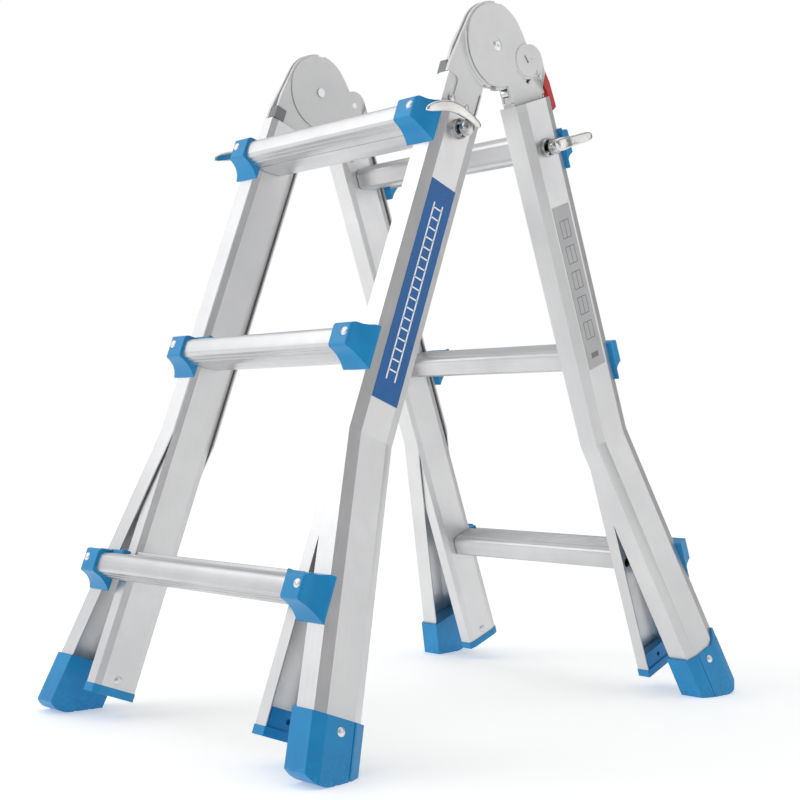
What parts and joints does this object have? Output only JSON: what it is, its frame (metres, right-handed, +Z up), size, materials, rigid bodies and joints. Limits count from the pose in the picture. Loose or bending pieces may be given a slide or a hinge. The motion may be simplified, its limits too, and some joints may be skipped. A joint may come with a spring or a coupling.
{
  "type": "multi position ladder",
  "caption": "Telescoping multi position ladder with hinged A-frame sections, splayed legs, pull locks and non-slip feet.",
  "frame": {"origin": "on the floor, midway between the four feet, under the hinge axis", "axes": "+X along the hinge axis and the rungs, +Y from the front section towards the rear section, +Z up"},
  "size_m": [0.5316, 0.738, 0.863],
  "materials": {
    "rail_aluminium": "satin extruded aluminium",
    "rung_aluminium": "bright extruded aluminium with fine grooves",
    "cast_aluminium": "light grey powder-coated metal",
    "polished_aluminium": "bright nickel-plated casting",
    "plated_steel": "zinc-plated steel",
    "blue_plastic": "satin moulded blue plastic",
    "dark_plastic": "dark grey moulded plastic",
    "red_plastic": "semi-gloss red moulded plastic",
    "blue_label": "printed film",
    "grey_label": "printed film"
  },
  "bodies": {
    "front_frame": {"front_inner_rail_left": "rail_aluminium", "front_inner_rail_right": "rail_aluminium", "front_inner_rung_top": "rung_aluminium", "front_inner_rung_middle": "rung_aluminium", "front_inner_rung_bottom": "rung_aluminium", "front_inner_end_caps": "blue_plastic", "front_inner_rivets": "plated_steel", "front_rail_plugs": "dark_plastic", "front_hinge_outer_plate_left": "cast_aluminium", "front_hinge_outer_plate_right": "cast_aluminium", "front_hinge_inner_plate_left": "cast_aluminium", "front_hinge_inner_plate_right": "cast_aluminium"},
    "rear_frame": {"rear_inner_rail_left": "rail_aluminium", "rear_inner_rail_right": "rail_aluminium", "rear_inner_rung_top": "rung_aluminium", "rear_inner_rung_middle": "rung_aluminium", "rear_inner_rung_bottom": "rung_aluminium", "rear_inner_end_caps": "blue_plastic", "rear_inner_rivets": "plated_steel", "hinge_spacer_bushes": "plated_steel", "hinge_pawl_springs": "plated_steel", "rear_hinge_outer_plate_left": "cast_aluminium", "rear_hinge_outer_plate_right": "cast_aluminium", "rear_hinge_inner_plate_left": "cast_aluminium", "rear_hinge_inner_plate_right": "cast_aluminium", "hinge_axle_left": "plated_steel", "hinge_axle_right": "plated_steel"},
    "front_outer_section": {"front_outer_rail_left": "rail_aluminium", "front_outer_rail_right": "rail_aluminium", "front_outer_rung_top": "rung_aluminium", "front_outer_rung_middle": "rung_aluminium", "front_outer_rung_bottom": "rung_aluminium", "front_rung_brackets": "blue_plastic", "front_foot_left": "blue_plastic", "front_foot_right": "blue_plastic", "front_outer_rivets": "plated_steel", "front_lock_bushes": "plated_steel", "front_label": "blue_label"},
    "rear_outer_section": {"rear_outer_rail_left": "rail_aluminium", "rear_outer_rail_right": "rail_aluminium", "rear_outer_rung_top": "rung_aluminium", "rear_outer_rung_middle": "rung_aluminium", "rear_outer_rung_bottom": "rung_aluminium", "rear_rung_brackets": "blue_plastic", "rear_foot_left": "blue_plastic", "rear_foot_right": "blue_plastic", "rear_outer_rivets": "plated_steel", "rear_lock_bushes": "plated_steel", "rear_label": "grey_label"},
    "front_lock_left": {"front_lock_left": "polished_aluminium"},
    "front_lock_right": {"front_lock_right": "polished_aluminium"},
    "rear_lock_left": {"rear_lock_left": "polished_aluminium"},
    "rear_lock_right": {"rear_lock_right": "polished_aluminium"},
    "hinge_pawl_left": {"hinge_pawl_left": "plated_steel", "release_lever_left": "red_plastic"},
    "hinge_pawl_right": {"hinge_pawl_right": "plated_steel", "release_lever_right": "red_plastic"}
  },
  "joints": [
    {"name": "ladder_fold", "type": "hinge", "parent": "front_frame", "child": "rear_frame", "pos_m": [0, 0, 0.81], "axis": [1, 0, 0], "range_deg": [-39, 139.2]},
    {"name": "front_extension", "type": "slide", "parent": "front_frame", "child": "front_outer_section", "axis": [0, -0.3486, -0.9373], "range_m": [0, 0.56]},
    {"name": "rear_extension", "type": "slide", "parent": "rear_frame", "child": "rear_outer_section", "axis": [0, 0.3486, -0.9373], "range_m": [0, 0.56]},
    {"name": "front_lock_left_pull", "type": "slide", "parent": "front_outer_section", "child": "front_lock_left", "axis": [-1, 0, 0], "range_m": [-0.009, 0]},
    {"name": "front_lock_right_pull", "type": "slide", "parent": "front_outer_section", "child": "front_lock_right", "axis": [1, 0, 0], "range_m": [-0.009, 0]},
    {"name": "rear_lock_left_pull", "type": "slide", "parent": "rear_outer_section", "child": "rear_lock_left", "axis": [-1, 0, 0], "range_m": [-0.009, 0]},
    {"name": "rear_lock_right_pull", "type": "slide", "parent": "rear_outer_section", "child": "rear_lock_right", "axis": [1, 0, 0], "range_m": [-0.009, 0]},
    {"name": "hinge_pawl_left_turn", "type": "hinge", "parent": "rear_frame", "child": "hinge_pawl_left", "pos_m": [-0.1644, 0.0626, 0.80234], "axis": [1, 0, 0], "range_deg": [-7.5, 0]},
    {"name": "hinge_pawl_right_turn", "type": "hinge", "parent": "rear_frame", "child": "hinge_pawl_right", "pos_m": [0.1644, 0.0626, 0.80234], "axis": [1, 0, 0], "range_deg": [-7.5, 0]}
  ]
}
